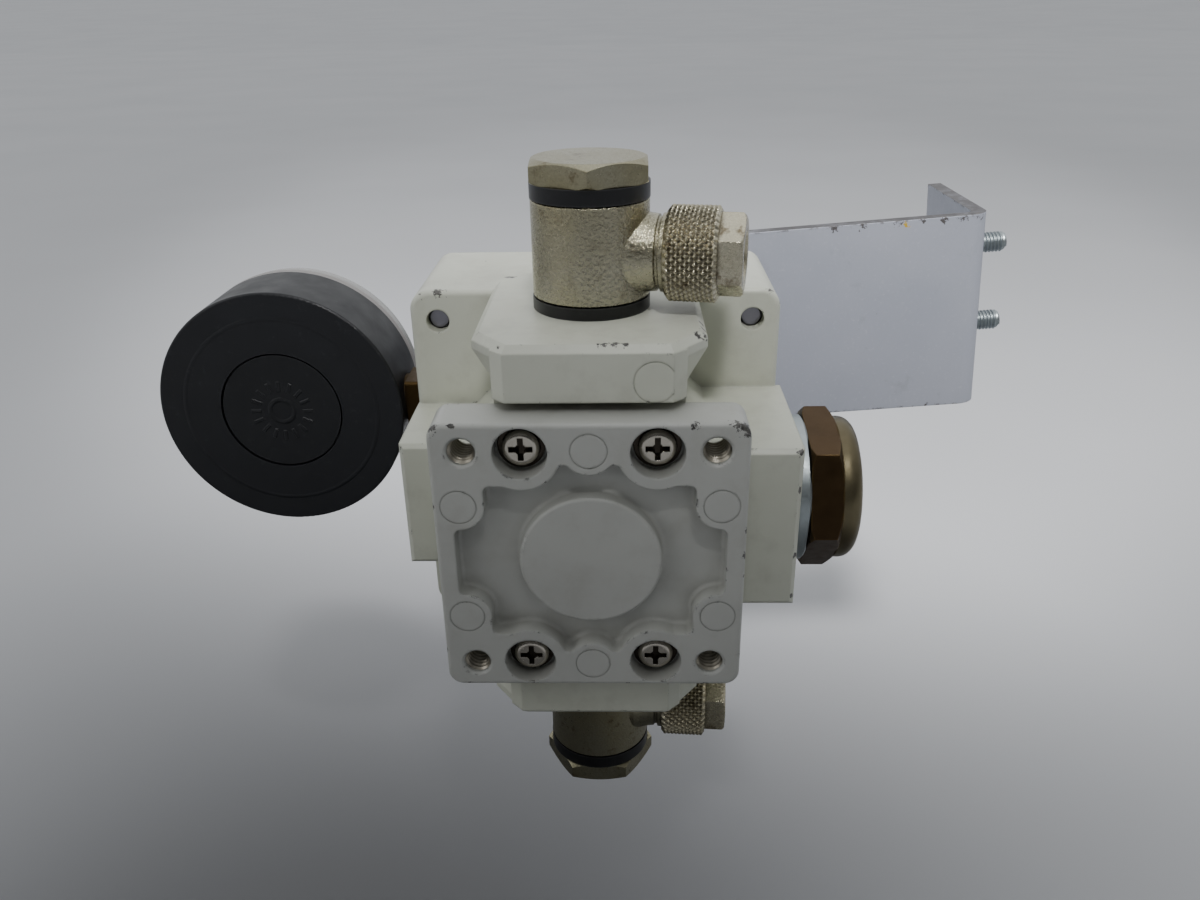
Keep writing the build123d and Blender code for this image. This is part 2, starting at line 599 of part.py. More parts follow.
with BuildPart() as gauge_stem:
    disc(sideways(-block_half - 8.0, gauge_stem_y, gauge_z), gauge_thread - 0.02, 16.5)
    disc(sideways(-block_half - 5.0, gauge_stem_y, gauge_z), 6.2, 4.5)
    with BuildSketch(sideways(gauge_x + gauge_radius + 0.3, gauge_stem_y, gauge_z)):
        RectangleRounded(12.0, 12.0, 1.0)
    extrude(amount=3.2)
    disc(sideways(gauge_x + 25, gauge_stem_y, gauge_z), 5.9, 6.0)
    with BuildSketch(sideways(gauge_x + 16.5, gauge_stem_y, gauge_z)):
        Rectangle(8.0, 12.0)
    extrude(amount=9.0)
    disc(sideways(gauge_x + 18, gauge_stem_y, gauge_z), 1.2, 31.0, Mode.SUBTRACT)
save(gauge_stem, "gauge_stem")

with BuildPart() as bourdon_tube:
    with BuildLine(across(gauge_stem_y, gauge_x, gauge_z)) as tube_path:
        CenterArc((0, 0), 22.0, 17, 246)
    with BuildSketch(Plane(origin=tube_path.line @ 0, z_dir=tube_path.line % 0)):
        Circle(1.4)
    sweep(path=tube_path.line)
save(bourdon_tube, "bourdon_tube")

with BuildPart() as gauge_movement:
    with BuildSketch(across(gauge_stem_y - 3.0, gauge_x, gauge_z)):
        with Locations((4.0, 0)):
            RectangleRounded(25.0, 11.0, 2.0)
    extrude(amount=-6.0)
    disc(across(gauge_stem_y - 4.0, gauge_x, gauge_z), 0.95, -10.0, Mode.SUBTRACT)
save(gauge_movement, "gauge_movement")

with BuildPart() as gauge_dial:
    tube(across(gauge_front - 1.4, gauge_x, gauge_z), 27.9, 1.6, -0.6)
save(gauge_dial, "gauge_dial")

with BuildPart() as gauge_pointer:
    disc(across(gauge_stem_y - 2.5, gauge_x, gauge_z), 0.9, -(gauge_front + 1.4 - gauge_stem_y + 2.5))
    with BuildSketch(across(gauge_front + 0.4, gauge_x, gauge_z)):
        Circle(2.4)
        with BuildLine():
            Polyline((-1.0, -0.6), (0.6, 1.0), (16.4, -15.2), (15.2, -16.4), close=True)
        make_face()
        with BuildLine():
            Polyline((-3.4, 5.8), (-5.8, 3.4), (-1.2, -1.2), (1.2, 1.2), close=True)
        make_face()
    extrude(amount=-0.8)
save(gauge_pointer, "gauge_pointer")

with BuildPart() as gauge_ring:
    tube(across(gauge_front, gauge_x, gauge_z), gauge_radius, 27.9, -gauge_ring_depth)
    fillet(round_edges(gauge_ring, gauge_radius, "Y", gauge_front + 1, gauge_front + 10), 0.5)
save(gauge_ring, "gauge_ring")

# clear cap whose rim sits on the ring
with BuildPart() as gauge_window:
    window_back = gauge_front + gauge_ring_depth
    disc(across(window_back, gauge_x, gauge_z), gauge_radius - 0.5, -window_depth)
    fillet(round_edges(gauge_window, gauge_radius - 0.5, "Y", window_back + 1, window_back + 10), 1.2)
    disc(across(window_back, gauge_x, gauge_z), 27.9, -(window_depth - 1.8), Mode.SUBTRACT)
save(gauge_window, "gauge_window")
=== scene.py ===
"""Looks for the modular pressure regulator: materials, knurled and threaded pieces, light and camera."""
from math import ceil, cos, pi, radians, sin, tau

import bpy
from mathutils import Matrix, Vector


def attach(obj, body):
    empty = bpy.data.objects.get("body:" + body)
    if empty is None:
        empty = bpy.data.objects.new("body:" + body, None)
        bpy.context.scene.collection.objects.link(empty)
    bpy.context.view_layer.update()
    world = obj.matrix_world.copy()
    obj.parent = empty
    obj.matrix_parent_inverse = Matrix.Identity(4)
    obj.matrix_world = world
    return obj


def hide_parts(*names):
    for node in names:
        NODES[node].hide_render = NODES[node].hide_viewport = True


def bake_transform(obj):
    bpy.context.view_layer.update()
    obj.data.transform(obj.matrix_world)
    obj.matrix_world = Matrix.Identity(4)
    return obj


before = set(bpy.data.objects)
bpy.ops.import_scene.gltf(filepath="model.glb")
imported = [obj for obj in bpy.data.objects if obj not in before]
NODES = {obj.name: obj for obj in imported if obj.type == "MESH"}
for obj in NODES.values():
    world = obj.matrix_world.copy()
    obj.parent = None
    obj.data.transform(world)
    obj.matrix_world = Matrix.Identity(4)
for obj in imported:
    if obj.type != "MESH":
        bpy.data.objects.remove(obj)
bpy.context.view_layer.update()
MM = 0.001

# ---------------------------------------------------------------- camera
CAMERA_PLACE = (0.00663, -0.15642, 0.09665)
CAMERA_PITCH, CAMERA_YAW, CAMERA_ROLL = 0.4371, -0.0292, -0.0168
SENSOR = 36.0
LENS = 29.13


def make_camera():
    data = bpy.data.cameras.new("camera")
    data.sensor_fit = "HORIZONTAL"
    data.sensor_width = SENSOR
    data.lens = LENS
    data.clip_start, data.clip_end = 0.01, 20.0
    camera = bpy.data.objects.new("camera", data)
    bpy.context.scene.collection.objects.link(camera)
    ahead = Vector((
        sin(CAMERA_YAW) * cos(CAMERA_PITCH), cos(CAMERA_YAW) * cos(CAMERA_PITCH), -sin(CAMERA_PITCH)))
    level_right = Vector((cos(CAMERA_YAW), -sin(CAMERA_YAW), 0))
    level_up = level_right.cross(ahead)
    right = level_right * cos(CAMERA_ROLL) + level_up * sin(CAMERA_ROLL)
    up = level_up * cos(CAMERA_ROLL) - level_right * sin(CAMERA_ROLL)
    turn = Matrix((right, up, -ahead)).transposed()
    camera.matrix_world = Matrix.Translation(CAMERA_PLACE) @ turn.to_4x4()
    bpy.context.scene.camera = camera


make_camera()


# ---------------------------------------------------------------- node helpers
FLECK_FADE, FLECK_CUT = 0.22, 0.37


class Graph:
    """A small wrapper that builds one material's node tree."""

    def __init__(self, name):
        self.material = bpy.data.materials.new(name)
        self.material.use_nodes = True
        self.tree = self.material.node_tree
        self.tree.nodes.clear()
        self.shader = self.add("ShaderNodeBsdfPrincipled")
        output = self.add("ShaderNodeOutputMaterial")
        self.tree.links.new(self.shader.outputs[0], output.inputs[0])
        self.place = self.add("ShaderNodeTexCoord").outputs["Object"]

    def add(self, kind, inputs=None, **settings):
        node = self.tree.nodes.new(kind)
        for key, value in settings.items():
            setattr(node, key, value)
        for key, value in (inputs or {}).items():
            if isinstance(value, bpy.types.NodeSocket):
                self.tree.links.new(value, node.inputs[key])
            else:
                node.inputs[key].default_value = value
        return node

    def noise(self, scale, detail=4.0, rough=0.55):
        node = self.add("ShaderNodeTexNoise", {
            "Vector": self.place, "Scale": scale, "Detail": detail, "Roughness": rough})
        return node.outputs["Fac"]

    def cells(self, scale):
        """Distance to the nearest of many scattered points."""
        node = self.add("ShaderNodeTexVoronoi", {"Vector": self.place, "Scale": scale})
        return node.outputs["Distance"]

    def remap(self, value, low, high, to_low=0.0, to_high=1.0):
        """Low to high becomes to_low to to_high, clamped at both ends."""
        node = self.add("ShaderNodeMapRange", {
            "Value": value, "From Min": low, "From Max": high, "To Min": to_low, "To Max": to_high})
        return node.outputs[0]

    def math(self, operation, a, b=0.0):
        return self.add("ShaderNodeMath", {0: a, 1: b}, operation=operation).outputs[0]

    def mix(self, factor, a, b):
        node = self.add("ShaderNodeMix", {0: factor, 6: a, 7: b}, data_type="RGBA")
        return node.outputs[2]

    def facing(self, axis):
        """How far the surface faces along one axis, from -1 to 1."""
        normal = self.add("ShaderNodeNewGeometry").outputs["Normal"]
        return self.add("ShaderNodeSeparateXYZ", {0: normal}).outputs[axis]

    def along(self, axis):
        """Place along one axis in metres."""
        return self.add("ShaderNodeSeparateXYZ", {0: self.place}).outputs[axis]

    def rounded(self, radius):
        """Normals as if every edge had this radius."""
        return self.add("ShaderNodeBevel", {"Radius": radius}, samples=6).outputs[0]

    def edges(self, radius, sharp=0.985, full=0.90):
        """1 on outward and inward edges, 0 on open faces."""
        flat = self.add("ShaderNodeNewGeometry").outputs["Normal"]
        dot = self.add("ShaderNodeVectorMath", {0: self.rounded(radius), 1: flat}, operation="DOT_PRODUCT")
        return self.remap(dot.outputs["Value"], sharp, full)

    def cavity(self, distance, low=0.35, high=0.95):
        """1 deep in corners, 0 in the open."""
        node = self.add("ShaderNodeAmbientOcclusion", {"Distance": distance}, samples=12)
        return self.remap(node.outputs["AO"], high, low)

    def blots(self, places):
        """1 inside ragged flecks gathered at (x, y, z, reach) in millimetres, 0 elsewhere."""
        grain = self.noise(900.0, 7.0, 0.7)
        nearest = None
        for x, y, z, reach in places:
            centre = (x * MM, y * MM, z * MM)
            offset = self.add("ShaderNodeVectorMath", {0: self.place, 1: centre}, operation="DISTANCE")
            share = self.math("DIVIDE", offset.outputs["Value"], reach * MM)
            nearest = share if nearest is None else self.math("MINIMUM", nearest, share)
        fading = self.math("SUBTRACT", grain, self.math("MULTIPLY", nearest, FLECK_FADE))
        return self.remap(fading, FLECK_CUT, FLECK_CUT + 0.03)

    def bump(self, height, strength, distance, under=None):
        inputs = {"Height": height, "Strength": strength, "Distance": distance}
        if under is not None:
            inputs["Normal"] = under
        return self.add("ShaderNodeBump", inputs).outputs[0]

    def set(self, **inputs):
        for key, value in inputs.items():
            socket = self.shader.inputs[key.replace("_", " ")]
            if isinstance(value, bpy.types.NodeSocket):
                self.tree.links.new(value, socket)
            else:
                socket.default_value = value
        return self.material


def rgb(red, green, blue):
    """Screen colour 0 to 255 to a linear colour."""
    return tuple(((c / 255) / 12.92 if c < 11 else ((c / 255 + 0.055) / 1.055) ** 2.4)
                 for c in (red, green, blue)) + (1.0,)


def darker(tint, share):
    """A linear colour with its light cut to a share."""
    return tuple(c * share for c in tint[:3]) + (1.0,)


# ---------------------------------------------------------------- materials
def paint(name, base, second, wear, chips):
    """Cast metal under enamel: faint orange peel, soiling and painted shade in corners, dark chips along
    edges.
    """
    g = Graph(name)
    colour = g.mix(g.remap(g.noise(35.0), 0.35, 0.7), base, second)
    smudge = g.math("MULTIPLY", g.remap(g.noise(110.0, 6.0, 0.65), 0.5, 0.78), 0.3)
    colour = g.mix(smudge, colour, rgb(152, 148, 136))
    # Corners darkened by ambient occlusion in noisy patches: soiling and painted shade.
    grime_and_shade = g.math("MULTIPLY", g.cavity(0.004), g.remap(g.noise(160.0, 5.0), 0.35, 0.75, 0.1, 0.55))
    colour = g.mix(grime_and_shade, colour, rgb(100, 97, 88))
    speck = g.math("MULTIPLY", g.remap(g.cells(95.0), 0.025, 0.012), g.remap(g.noise(60.0, 2.0), 0.56, 0.6))
    rim = g.math("MULTIPLY", g.edges(0.0009, 0.992, 0.93),
                 g.remap(g.noise(420.0, 7.0, 0.75), 0.66 - 0.10 * wear, 0.69 - 0.10 * wear))
    worn = g.math("MAXIMUM", g.math("MAXIMUM", rim, speck), g.blots(chips))
    bare = g.mix(g.remap(g.noise(800.0, 3.0), 0.4, 0.6), rgb(52, 50, 48), rgb(104, 102, 98))
    colour = g.mix(worn, colour, bare)
    depth = g.math("SUBTRACT", g.noise(700.0, 3.0, 0.5), g.math("MULTIPLY", worn, 1.5))
    return g.set(
        Base_Color=colour, Roughness=g.remap(g.noise(90.0), 0.3, 0.7, 0.3, 0.42),
        Normal=g.bump(depth, 0.16, 0.00012, g.rounded(0.0006)), Specular_IOR_Level=0.5)


def nickel(name, tint, grain, depth, rough, spread, dirt_and_shade, pitted=0.55, corner=0.0022):
    """Nickel plate over brass: warm grey, pitted grain, brown soiling and painted shade in the corners."""
    g = Graph(name)
    aged = tuple(c * k for c, k in zip(tint, (0.86, 0.83, 0.70, 1)))
    warm = g.mix(g.remap(g.noise(55.0, 3.0), 0.35, 0.7), tint, aged)
    speck = g.remap(g.noise(2600.0, 4.0, 0.75), 0.42, 0.62)
    colour = g.mix(g.math("MULTIPLY", speck, 0.3), warm, darker(tint, 0.45))
    stain = g.remap(g.noise(240.0, 8.0, 0.75), 0.56, 0.66, 0.0, 0.75 * dirt_and_shade)
    colour = g.mix(stain, colour, rgb(96, 78, 50))
    # Corners darkened towards brown by ambient occlusion: soiling and painted shade.
    grime_and_shade = g.math("MULTIPLY", g.cavity(corner, 0.3, 0.9), dirt_and_shade)
    colour = g.mix(grime_and_shade, colour, rgb(56, 45, 28))
    height = g.math("ADD", g.noise(grain, 5.0, 0.62), g.math("MULTIPLY", g.cells(grain * 0.7), 0.6))
    return g.set(
        Base_Color=colour, Metallic=1.0,
        Roughness=g.remap(g.noise(grain * 0.5), 0.3, 0.7, rough, rough + spread),
        Normal=g.bump(height, pitted, depth, g.rounded(0.0003)))


def metal(name, tint, rough, grain, strength, dirt_and_shade, mottle=0.35, corner=0.0015):
    """Plain machined or plated metal with faint tool marks, soiling and painted shade in its recesses."""
    g = Graph(name)
    marks = g.noise(grain, 4.0, 0.6)
    colour = g.mix(g.remap(g.noise(300.0, 5.0), 0.45, 0.8, 0.0, mottle), tint, darker(tint, 0.6))
    # Recesses darkened by ambient occlusion: soiling and painted shade.
    colour = g.mix(g.math("MULTIPLY", g.cavity(corner, 0.3, 0.9), dirt_and_shade), colour, rgb(40, 36, 30))
    return g.set(
        Base_Color=colour, Metallic=1.0, Roughness=g.remap(marks, 0.3, 0.7, rough, rough + 0.15),
        Normal=g.bump(marks, strength, 0.00008))


def screw_metal(name, head, washer_shade, split):
    """Bright screw heads with painted shade round their rims; washers deeper than split millimetres along Y
    are painted dark as the shade in the wells.
    """
    g = Graph(name)
    # Painted shade: head rims near the well walls darkened by ambient occlusion.
    colour = g.mix(g.math("MULTIPLY", g.cavity(0.0008, 0.35, 0.8), 0.95), head, rgb(26, 22, 18))
    # Painted shade: everything deeper than the split, the washers down in the wells, takes the dark second
    # colour.
    colour = g.mix(g.remap(g.along("Y"), (split - 0.2) * MM, split * MM), colour, washer_shade)
    return g.set(
        Base_Color=colour, Metallic=1.0, Roughness=g.remap(g.noise(700.0), 0.3, 0.7, 0.16, 0.28),
        Normal=g.bump(g.noise(900.0, 3.0), 0.06, 0.0001, g.rounded(0.0002)))


def plastic(name, tint, rough, grain=900.0, strength=0.08, dust=0.25, dust_and_edge_highlight=rgb(110, 110, 112)):
    """Moulded plastic: fine grain, light dust that settles in patches, and a painted edge highlight that
    makes the edges lighter.
    """
    g = Graph(name)
    dusty = g.math("MULTIPLY", g.remap(g.noise(420.0, 8.0, 0.75), 0.58, 0.78), dust)
    colour = g.mix(dusty, tint, dust_and_edge_highlight)
    # Painted highlight: every edge mixed a little towards the pale colour.
    colour = g.mix(g.math("MULTIPLY", g.edges(0.0005), 0.18), colour, dust_and_edge_highlight)
    return g.set(
        Base_Color=colour, Roughness=g.remap(g.noise(150.0, 4.0), 0.3, 0.7, rough, rough + 0.14),
        Normal=g.bump(g.noise(grain, 3.0), strength, 0.0001))


def sheet_paint(name, chips, spot):
    """Blue-grey satin paint: dust specks, chips along the edges, top edges rubbed dark, a yellow spot."""
    g = Graph(name)
    colour = g.mix(g.remap(g.noise(22.0, 3.0), 0.3, 0.7), rgb(182, 185, 196), rgb(170, 174, 186))
    dust = g.remap(g.noise(900.0, 6.0, 0.8), 0.56, 0.68, 0.0, 0.4)
    colour = g.mix(dust, colour, rgb(206, 208, 216))
    soil = g.remap(g.noise(120.0, 6.0, 0.7), 0.6, 0.75, 0.0, 0.25)
    colour = g.mix(soil, colour, rgb(120, 122, 126))
    worn = g.math("MULTIPLY", g.edges(0.0013, 0.99, 0.9), g.remap(g.noise(300.0, 7.0, 0.75), 0.53, 0.57))
    nicks = g.math("MULTIPLY", g.remap(g.cells(70.0), 0.02, 0.01), g.remap(g.noise(45.0, 2.0), 0.5, 0.55))
    worn = g.math("MAXIMUM", g.math("MAXIMUM", worn, nicks), g.blots(chips))
    patchy = g.remap(g.noise(160.0, 6.0, 0.7), 0.3, 0.5, 0.7, 1.0)
    rubbed = g.math("MULTIPLY", g.remap(g.facing("Z"), 0.85, 0.97), patchy)
    colour = g.mix(rubbed, colour, rgb(68, 66, 68))
    colour = g.mix(worn, colour, rgb(92, 88, 88))
    colour = g.mix(g.blots(spot), colour, rgb(206, 172, 62))
    height = g.math("SUBTRACT", g.noise(1400.0, 3.0), worn)
    return g.set(
        Base_Color=colour, Metallic=0.1, Roughness=g.remap(g.noise(300.0), 0.3, 0.7, 0.42, 0.55),
        Normal=g.bump(height, 0.15, 0.0001, g.rounded(0.0004)))


def bronze(name, hexagon, dome, split):
    """Dark brown hexagon and olive brass dome, split at a distance along X in millimetres."""
    g = Graph(name)
    colour = g.mix(g.remap(g.along("X"), split * MM, (split + 0.3) * MM), hexagon, dome)
    mottle = g.remap(g.noise(90.0, 5.0), 0.35, 0.7, 0.0, 0.45)
    colour = g.mix(mottle, colour, rgb(52, 40, 28))
    worn = g.math("MULTIPLY", g.edges(0.0006, 0.96, 0.8), g.remap(g.noise(200.0, 5.0), 0.4, 0.6, 0.1, 0.6))
    colour = g.mix(worn, colour, rgb(150, 124, 74))
    return g.set(
        Base_Color=colour, Metallic=0.9, Roughness=g.remap(g.noise(500.0), 0.3, 0.7, 0.3, 0.42),
        Normal=g.bump(g.noise(1300.0, 4.0), 0.15, 0.0001, g.rounded(0.0004)))


def clear(name):
    """Clear plastic over the dial, its moulded rim cloudy."""
    g = Graph(name)
    flat = g.remap(g.math("ABSOLUTE", g.facing("Y")), 0.7, 0.95)
    scuff = g.remap(g.noise(500.0, 6.0, 0.7), 0.4, 0.8, 0.0, 0.12)
    return g.set(
        Base_Color=g.mix(flat, (0.62, 0.62, 0.61, 1), (0.92, 0.92, 0.92, 1)),
        Roughness=g.math("ADD", scuff, g.remap(flat, 0.0, 1.0, 0.15, 0.03)),
        Transmission_Weight=g.remap(flat, 0.0, 1.0, 0.45, 0.95), IOR=1.49)


def sintered(name, tint):
    """Bronze grains pressed into a porous disc."""
    g = Graph(name)
    grains = g.cells(1500.0)
    colour = g.mix(g.remap(grains, 0.25, 0.6), tint, rgb(46, 34, 20))
    return g.set(
        Base_Color=colour, Metallic=0.9, Roughness=0.5,
        Normal=g.bump(g.math("SUBTRACT", 1.0, grains), 0.8, 0.0004))


# chipped places: x, y, z and reach in millimetres
COVER_CHIPS = (
    (28.4, 0.6, 27.6, 2.4), (26.4, 0.2, 28.4, 1.6), (-27.8, 0.6, 27.6, 1.4), (-24.5, 0.2, 28.4, 1.0),
    (29.0, 0.6, 7.0, 1.0), (29.0, 0.6, 1.5, 1.2), (29.0, 0.4, -3.0, 0.8), (28.9, 0.6, -21.0, 1.0),
    (-29.0, 0.5, 12.0, 0.8), (-28.9, 0.5, -20.0, 0.9), (19.0, 0.2, 28.4, 1.2), (7.0, 0.2, -28.4, 0.9),
    (-12.0, 0.2, -28.4, 0.9), (-25.0, 0.5, -28.0, 1.2), (22.0, 0.3, -28.3, 0.9),
)
BODY_CHIPS = (
    (-33.5, 46.0, 39.6, 1.6), (-37.0, 46.5, 38.6, 1.0), (37.5, 46.5, 39.2, 1.2), (39.8, 47.0, 36.5, 0.8),
    (2.5, 6.8, 41.0, 1.2), (4.5, 6.8, 41.0, 1.4), (6.5, 6.7, 41.0, 1.0), (-16.5, 7.2, 40.6, 0.9),
    (21.2, 14.2, 40.4, 1.6), (21.2, 17.0, 40.5, 1.1), (21.2, 20.0, 40.5, 1.2), (20.2, 12.8, 40.3, 1.4),
    (-19.5, 56.4, 40.0, 1.0), (-18.5, 56.4, 40.0, 1.2), (-17.5, 56.4, 40.0, 1.2), (-16.5, 56.4, 40.0, 1.2),
    (-15.5, 56.6, 40.0, 1.2), (-14.5, 56.8, 40.0, 1.2), (-8.0, 79.0, 40.0, 1.2), (40.4, 12.4, 16.8, 1.4),
    (40.4, 12.4, 9.0, 0.9), (40.4, 12.4, -6.0, 0.8), (40.4, 12.4, -15.5, 0.9), (-39.8, 23.2, 13.6, 0.7),
    (13.0, 5.6, -30.8, 0.8),
)
BRACKET_CHIPS = (
    (66.0, 122.5, 35.6, 1.6), (74.0, 122.5, 36.4, 1.6), (84.0, 122.5, 37.2, 1.5), (91.0, 122.5, 37.6, 1.6),
    (97.0, 122.6, 38.0, 1.6), (102.0, 122.8, 38.4, 1.8), (107.0, 123.5, 38.8, 1.6), (111.5, 127.5, 38.0, 1.4),
    (99.0, 122.2, -18.4, 0.8), (112.0, 125.5, 20.0, 0.8), (112.0, 126.0, -8.0, 0.8),
)
YELLOW_SPOT = ((86.5, 122.2, 36.4, 1.0),)
SCREW_HEAD_DEPTH = 3.5
SILENCER_SPLIT = 50.4

# Thread grooves darkened almost fully by ambient occlusion: painted shade with some soiling.
THREAD = metal("thread_metal", rgb(176, 170, 156), 0.32, 1500.0, 0.1, 0.95, 0.35, 0.0008)
NUT_NICKEL = nickel("knurled_nickel", rgb(206, 200, 178), 2600.0, 0.00008, 0.22, 0.1, 1.0, 0.6, 0.0012)
CREAM = paint("cream_paint", rgb(212, 214, 200), rgb(202, 204, 189), 0.6, BODY_CHIPS)
COVER = paint("cover_paint", rgb(192, 193, 187), rgb(182, 183, 178), 1.0, COVER_CHIPS)
BLASTED = nickel("blasted_nickel", rgb(186, 182, 162), 1800.0, 0.00018, 0.20, 0.12, 0.5, 0.85)
SMOOTH_NICKEL = nickel("smooth_nickel", rgb(168, 164, 142), 2600.0, 0.00008, 0.26, 0.12, 0.8)
# The second colour is painted shade for the washers down in the wells.
SCREW_STEEL = screw_metal("screw_steel", rgb(196, 190, 178), rgb(58, 53, 47), SCREW_HEAD_DEPTH)
STEEL = metal("plated_steel", rgb(222, 219, 210), 0.2, 1500.0, 0.1, 0.35)
ZINC = metal("zinc_plate", rgb(176, 184, 186), 0.34, 1200.0, 0.04, 0.5, 0.15)
DARK_STEEL = metal("dark_steel", rgb(150, 148, 156), 0.3, 1100.0, 0.5, 0.4)
BRASS = metal("brass", rgb(200, 164, 98), 0.25, 1300.0, 0.1, 0.4)
# A darkened copy of the brass: painted shade for the gauge stem, which sits in shadow.
SHADED_BRASS = metal("brass_painted_shade", rgb(78, 62, 38), 0.4, 1300.0, 0.2, 0.7)
BLACK_SEAL = plastic("black_seal", rgb(13, 13, 15), 0.28, 900.0, 0.06, 0.12)
BLACK_CASE = plastic("black_case", rgb(26, 27, 31), 0.36, 700.0, 0.05, 0.3, rgb(84, 84, 88))
BLACK_DISC = plastic("black_disc", rgb(25, 26, 29), 0.38, 700.0, 0.05, 0.3, rgb(84, 84, 88))
BLACK_KNOB = plastic("black_knob", rgb(30, 30, 32), 0.45, 1500.0, 0.15, 0.2)
BONNET = plastic("bonnet_grey", rgb(60, 61, 64), 0.5, 900.0, 0.15, 0.2)
RING = plastic("pale_ring", rgb(146, 142, 140), 0.35, 700.0, 0.04, 0.2, rgb(186, 184, 182))
DIAL = plastic("dial_white", rgb(232, 232, 228), 0.45, 700.0, 0.02, 0.05, rgb(200, 200, 196))
POINTER = plastic("pointer_black", rgb(18, 18, 18), 0.4)
BRACKET = sheet_paint("bracket_paint", BRACKET_CHIPS, YELLOW_SPOT)
SINTER = sintered("sintered_bronze", rgb(150, 116, 66))
BRONZE = bronze("dark_bronze", rgb(84, 66, 44), rgb(118, 110, 86), SILENCER_SPLIT)
CLEAR = clear("clear_window")

LOOKS = {
    "valve_body": CREAM, "bottom_cover": COVER, "cover_screws": SCREW_STEEL, "cover_seal": BLACK_SEAL,
    "valve_seat": BRASS, "valve_poppet": BRASS, "poppet_pad": BLACK_SEAL, "valve_spring": STEEL,
    "piston": ZINC, "piston_ring": BLACK_SEAL, "main_spring": STEEL, "bonnet": BONNET,
    "bonnet_screws": DARK_STEEL, "spring_seat": BRASS, "adjusting_screw": STEEL, "knob": BLACK_KNOB,
    "panel_nut": BONNET, "bracket": BRACKET, "bracket_bolts": ZINC, "bracket_washers": ZINC,
    "lower_spacer": SMOOTH_NICKEL, "exhaust_washer": ZINC, "silencer_body": BRONZE,
    "silencer_element": SINTER, "spare_port_plug": SMOOTH_NICKEL, "gauge_case": BLACK_CASE,
    "gauge_back_disc": BLACK_DISC, "gauge_stem": SHADED_BRASS, "bourdon_tube": BRASS,
    "gauge_movement": BRASS, "gauge_dial": DIAL, "gauge_pointer": POINTER, "gauge_ring": RING,
    "gauge_window": CLEAR,
}
for end, body_look in (("upper", BLASTED), ("lower", SMOOTH_NICKEL)):
    LOOKS[f"{end}_port_seal"] = BLACK_SEAL
    LOOKS[f"{end}_cap_seal"] = BLACK_SEAL
    LOOKS[f"{end}_banjo_bolt"] = SMOOTH_NICKEL
    LOOKS[f"{end}_banjo_body"] = body_look
    LOOKS[f"{end}_union_nut"] = SMOOTH_NICKEL

for node_name, look in LOOKS.items():
    node = NODES[node_name]
    node.data.materials.clear()
    node.data.materials.append(look)

# ---------------------------------------------------------------- knurled, threaded and embossed pieces
def add_piece(name, points, faces, look, body, smooth_angle=32.0):
    """A mesh from points in millimetres, smooth except across sharp edges; with no body it is left
    unattached.
    """
    mesh = bpy.data.meshes.new(name)
    mesh.from_pydata([tuple(c * MM for c in p) for p in points], [], faces)
    mesh.materials.append(look)
    mesh.polygons.foreach_set("use_smooth", [True] * len(mesh.polygons))
    mesh.set_sharp_from_angle(angle=radians(smooth_angle))
    piece = bpy.data.objects.new(name, mesh)
    bpy.context.scene.collection.objects.link(piece)
    if body:
        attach(piece, body)
    return piece


def axes_of(direction):
    """Two unit vectors square to a direction, and the direction itself."""
    along = Vector(direction).normalized()
    start = Vector((0, 0, 1)) if abs(along.z) < 0.9 else Vector((1, 0, 0))
    first = (start - along * start.dot(along)).normalized()
    return first, along.cross(first), along


def lathe(origin, direction, rings, around, closed=True):
    """Points and faces of rings round an axis; each ring is a place along it and a radius by angle."""
    first, second, along = axes_of(direction)
    points = []
    for place, radius_at in rings:
        for i in range(around):
            angle = tau * i / around
            radius = radius_at(angle)
            spoke = first * cos(angle) + second * sin(angle)
            points.append(Vector(origin) + along * place + spoke * radius)
    faces = []
    for j in range(len(rings) if closed else len(rings) - 1):
        low, high = j * around, (j + 1) % len(rings) * around
        for i in range(around):
            step = (i + 1) % around
            faces.append((low + i, low + step, high + step, high + i))
    return points, faces


def round_at(radius):
    return lambda angle: radius


def hexagon_at(flats, limit):
    """Radius of a hexagon by angle, its corners turned off at a limiting radius."""
    def radius_at(angle):
        off = angle % (pi / 3) - pi / 6
        return min(flats / 2 / cos(off), limit)
    return radius_at


def ripple(value):
    """Triangle wave from 0 to 1 with a period of 1."""
    return 1 - abs(2 * (value % 1) - 1)


def knurl_at(place, radius, pitch, count, depth):
    """Radius by angle of one ring of a diamond knurl."""
    def radius_at(angle):
        across, along = count * angle / tau, place / pitch
        height = min(ripple(across + along), ripple(across - along))
        return radius - depth * (1 - min(1.0, 1.35 * height))
    return radius_at


# union nuts: places along the outlet from the port's axis, then radii and the hexagon's size
PORT_Y = 31.5
NUT_START, KNURL_START, KNURL_END, HEX_START, NUT_END = 15.2, 15.9, 24.7, 25.3, 30.0
NUT_RADIUS, NUT_NECK, NUT_FLATS, NUT_CORNERS = 9.15, 8.25, 14.0, 8.85
BORE_STEP, WIDE_BORE, MOUTH_BORE, MOUTH_RIM = 25.2, 6.8, 4.3, 4.9
KNURL_PITCH, KNURL_COUNT, KNURL_DEPTH = 1.7, 36, 0.62
KNURL_RINGS, KNURL_AROUND = 70, 360


